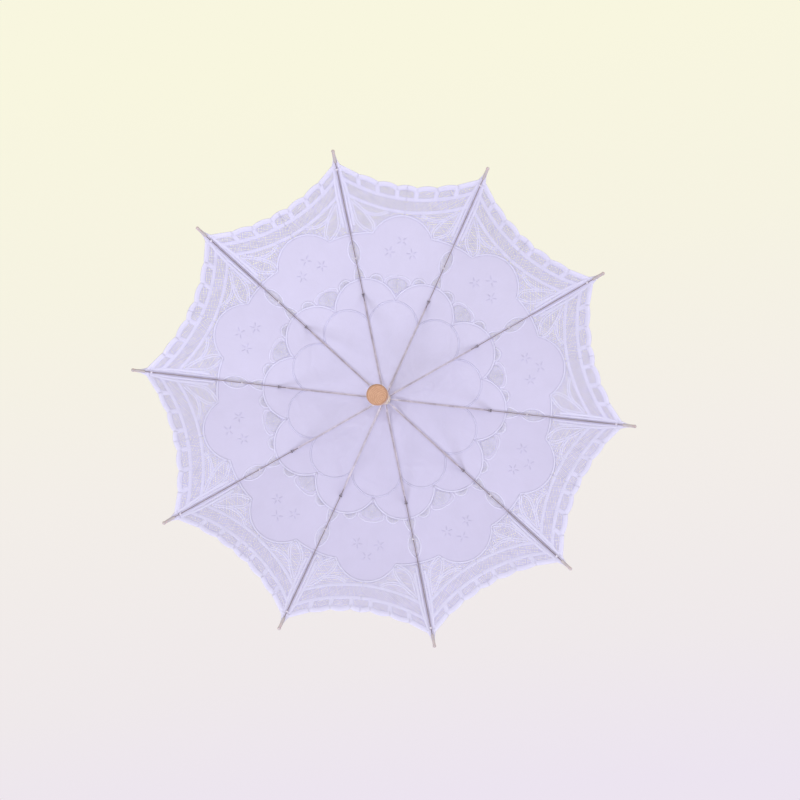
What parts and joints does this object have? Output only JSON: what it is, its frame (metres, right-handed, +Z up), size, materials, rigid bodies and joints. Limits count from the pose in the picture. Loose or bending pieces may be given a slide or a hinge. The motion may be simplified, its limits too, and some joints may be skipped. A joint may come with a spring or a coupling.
{
  "type": "lace parasol",
  "caption": "Open lace parasol: straight wooden shaft with a round grip, sliding runner, hinged steel ribs and stretchers, and a scalloped cotton lace cover that folds down.",
  "frame": {"origin": "on the shaft's axis, halfway up the straight part of the hand grip", "axes": "+Z up the shaft from the grip to the ferrule, with the parasol open; +X along rib_01"},
  "size_m": [0.8208, 0.7808, 0.662],
  "materials": {
    "pale_wood": "satin",
    "turned_wood": "satin varnish",
    "steel": "bright wire",
    "spring_steel": "bright",
    "rib_steel": "satin plate",
    "notch_plastic": "satin",
    "tip_cap": "satin",
    "lace": "cotton tape lace on net"
  },
  "bodies": {
    "stick": {"shaft": "pale_wood", "handle": "turned_wood", "ferrule": "turned_wood", "stop_pin": "steel", "notch_pin": "steel", "top_notch": "notch_plastic", "notch_wire": "steel", "crown_washer": "notch_plastic"},
    "runner": {"runner": "notch_plastic"},
    "top_catch": {"top_catch": "spring_steel"},
    "bottom_catch": {"bottom_catch": "spring_steel"},
    "rib_01": {"rib_01": "rib_steel", "rib_tip_01": "tip_cap", "canopy_01": "lace"},
    "stretcher_01": {"stretcher_01": "rib_steel"},
    "rib_02": {"rib_02": "rib_steel", "rib_tip_02": "tip_cap", "canopy_02": "lace"},
    "stretcher_02": {"stretcher_02": "rib_steel"},
    "rib_03": {"rib_03": "rib_steel", "rib_tip_03": "tip_cap", "canopy_03": "lace"},
    "stretcher_03": {"stretcher_03": "rib_steel"},
    "rib_04": {"rib_04": "rib_steel", "rib_tip_04": "tip_cap", "canopy_04": "lace"},
    "stretcher_04": {"stretcher_04": "rib_steel"},
    "rib_05": {"rib_05": "rib_steel", "rib_tip_05": "tip_cap", "canopy_05": "lace"},
    "stretcher_05": {"stretcher_05": "rib_steel"},
    "rib_06": {"rib_06": "rib_steel", "rib_tip_06": "tip_cap", "canopy_06": "lace"},
    "stretcher_06": {"stretcher_06": "rib_steel"},
    "rib_07": {"rib_07": "rib_steel", "rib_tip_07": "tip_cap", "canopy_07": "lace"},
    "stretcher_07": {"stretcher_07": "rib_steel"},
    "rib_08": {"rib_08": "rib_steel", "rib_tip_08": "tip_cap", "canopy_08": "lace"},
    "stretcher_08": {"stretcher_08": "rib_steel"},
    "rib_09": {"rib_09": "rib_steel", "rib_tip_09": "tip_cap", "canopy_09": "lace"},
    "stretcher_09": {"stretcher_09": "rib_steel"},
    "rib_10": {"rib_10": "rib_steel", "rib_tip_10": "tip_cap", "canopy_10": "lace"},
    "stretcher_10": {"stretcher_10": "rib_steel"}
  },
  "joints": [
    {"name": "runner_slide", "type": "slide", "parent": "stick", "child": "runner", "axis": [0, 0, 1], "range_m": [-0.26899, 0]},
    {"name": "top_catch_press", "type": "hinge", "parent": "stick", "child": "top_catch", "pos_m": [0.00171, 0.00056, 0.34555], "axis": [-0.309, 0.9511, 0], "range_deg": [-4, 0], "stiffness_Nm_per_rad": 1.5},
    {"name": "bottom_catch_press", "type": "hinge", "parent": "stick", "child": "bottom_catch", "pos_m": [0.00171, 0.00056, 0.15226], "axis": [-0.309, 0.9511, 0], "range_deg": [0, 4], "stiffness_Nm_per_rad": 1.5},
    {"name": "rib_01_fold", "type": "hinge", "parent": "stick", "child": "rib_01", "pos_m": [0.008, 0, 0.54], "axis": [0, 1, 0], "range_deg": [0, 69], "deforming": ["canopy_01"]},
    {"name": "stretcher_01_fold", "type": "hinge", "parent": "rib_01", "child": "stretcher_01", "pos_m": [0.18236, 0, 0.49593], "axis": [0, 1, 0], "range_deg": [-138, 0]},
    {"name": "rib_02_fold", "type": "hinge", "parent": "stick", "child": "rib_02", "pos_m": [0.00647, 0.0047, 0.54], "axis": [-0.5878, 0.809, 0], "range_deg": [0, 69], "deforming": ["canopy_02"]},
    {"name": "stretcher_02_fold", "type": "hinge", "parent": "rib_02", "child": "stretcher_02", "pos_m": [0.14753, 0.10719, 0.49593], "axis": [-0.5878, 0.809, 0], "range_deg": [-138, 0]},
    {"name": "rib_03_fold", "type": "hinge", "parent": "stick", "child": "rib_03", "pos_m": [0.00247, 0.00761, 0.54], "axis": [-0.9511, 0.309, 0], "range_deg": [0, 69], "deforming": ["canopy_03"]},
    {"name": "stretcher_03_fold", "type": "hinge", "parent": "rib_03", "child": "stretcher_03", "pos_m": [0.05635, 0.17343, 0.49593], "axis": [-0.9511, 0.309, 0], "range_deg": [-138, 0]},
    {"name": "rib_04_fold", "type": "hinge", "parent": "stick", "child": "rib_04", "pos_m": [-0.00247, 0.00761, 0.54], "axis": [-0.9511, -0.309, 0], "range_deg": [0, 69], "deforming": ["canopy_04"]},
    {"name": "stretcher_04_fold", "type": "hinge", "parent": "rib_04", "child": "stretcher_04", "pos_m": [-0.05635, 0.17343, 0.49593], "axis": [-0.9511, -0.309, 0], "range_deg": [-138, 0]},
    {"name": "rib_05_fold", "type": "hinge", "parent": "stick", "child": "rib_05", "pos_m": [-0.00647, 0.0047, 0.54], "axis": [-0.5878, -0.809, 0], "range_deg": [0, 69], "deforming": ["canopy_05"]},
    {"name": "stretcher_05_fold", "type": "hinge", "parent": "rib_05", "child": "stretcher_05", "pos_m": [-0.14753, 0.10719, 0.49593], "axis": [-0.5878, -0.809, 0], "range_deg": [-138, 0]},
    {"name": "rib_06_fold", "type": "hinge", "parent": "stick", "child": "rib_06", "pos_m": [-0.008, 0, 0.54], "axis": [0, -1, 0], "range_deg": [0, 69], "deforming": ["canopy_06"]},
    {"name": "stretcher_06_fold", "type": "hinge", "parent": "rib_06", "child": "stretcher_06", "pos_m": [-0.18236, 0, 0.49593], "axis": [0, -1, 0], "range_deg": [-138, 0]},
    {"name": "rib_07_fold", "type": "hinge", "parent": "stick", "child": "rib_07", "pos_m": [-0.00647, -0.0047, 0.54], "axis": [0.5878, -0.809, 0], "range_deg": [0, 69], "deforming": ["canopy_07"]},
    {"name": "stretcher_07_fold", "type": "hinge", "parent": "rib_07", "child": "stretcher_07", "pos_m": [-0.14753, -0.10719, 0.49593], "axis": [0.5878, -0.809, 0], "range_deg": [-138, 0]},
    {"name": "rib_08_fold", "type": "hinge", "parent": "stick", "child": "rib_08", "pos_m": [-0.00247, -0.00761, 0.54], "axis": [0.9511, -0.309, 0], "range_deg": [0, 69], "deforming": ["canopy_08"]},
    {"name": "stretcher_08_fold", "type": "hinge", "parent": "rib_08", "child": "stretcher_08", "pos_m": [-0.05635, -0.17343, 0.49593], "axis": [0.9511, -0.309, 0], "range_deg": [-138, 0]},
    {"name": "rib_09_fold", "type": "hinge", "parent": "stick", "child": "rib_09", "pos_m": [0.00247, -0.00761, 0.54], "axis": [0.9511, 0.309, 0], "range_deg": [0, 69], "deforming": ["canopy_09"]},
    {"name": "stretcher_09_fold", "type": "hinge", "parent": "rib_09", "child": "stretcher_09", "pos_m": [0.05635, -0.17343, 0.49593], "axis": [0.9511, 0.309, 0], "range_deg": [-138, 0]},
    {"name": "rib_10_fold", "type": "hinge", "parent": "stick", "child": "rib_10", "pos_m": [0.00647, -0.0047, 0.54], "axis": [0.5878, 0.809, 0], "range_deg": [0, 69], "deforming": ["canopy_10"]},
    {"name": "stretcher_10_fold", "type": "hinge", "parent": "rib_10", "child": "stretcher_10", "pos_m": [0.14753, -0.10719, 0.49593], "axis": [0.5878, 0.809, 0], "range_deg": [-138, 0]}
  ],
  "couplings": [
    {"joint": "rib_01_fold", "follows": "runner_slide", "rad_per_m": -4.477},
    {"joint": "stretcher_01_fold", "follows": "runner_slide", "rad_per_m": 8.954},
    {"joint": "rib_02_fold", "follows": "runner_slide", "rad_per_m": -4.477},
    {"joint": "stretcher_02_fold", "follows": "runner_slide", "rad_per_m": 8.954},
    {"joint": "rib_03_fold", "follows": "runner_slide", "rad_per_m": -4.477},
    {"joint": "stretcher_03_fold", "follows": "runner_slide", "rad_per_m": 8.954},
    {"joint": "rib_04_fold", "follows": "runner_slide", "rad_per_m": -4.477},
    {"joint": "stretcher_04_fold", "follows": "runner_slide", "rad_per_m": 8.954},
    {"joint": "rib_05_fold", "follows": "runner_slide", "rad_per_m": -4.477},
    {"joint": "stretcher_05_fold", "follows": "runner_slide", "rad_per_m": 8.954},
    {"joint": "rib_06_fold", "follows": "runner_slide", "rad_per_m": -4.477},
    {"joint": "stretcher_06_fold", "follows": "runner_slide", "rad_per_m": 8.954},
    {"joint": "rib_07_fold", "follows": "runner_slide", "rad_per_m": -4.477},
    {"joint": "stretcher_07_fold", "follows": "runner_slide", "rad_per_m": 8.954},
    {"joint": "rib_08_fold", "follows": "runner_slide", "rad_per_m": -4.477},
    {"joint": "stretcher_08_fold", "follows": "runner_slide", "rad_per_m": 8.954},
    {"joint": "rib_09_fold", "follows": "runner_slide", "rad_per_m": -4.477},
    {"joint": "stretcher_09_fold", "follows": "runner_slide", "rad_per_m": 8.954},
    {"joint": "rib_10_fold", "follows": "runner_slide", "rad_per_m": -4.477},
    {"joint": "stretcher_10_fold", "follows": "runner_slide", "rad_per_m": 8.954}
  ]
}
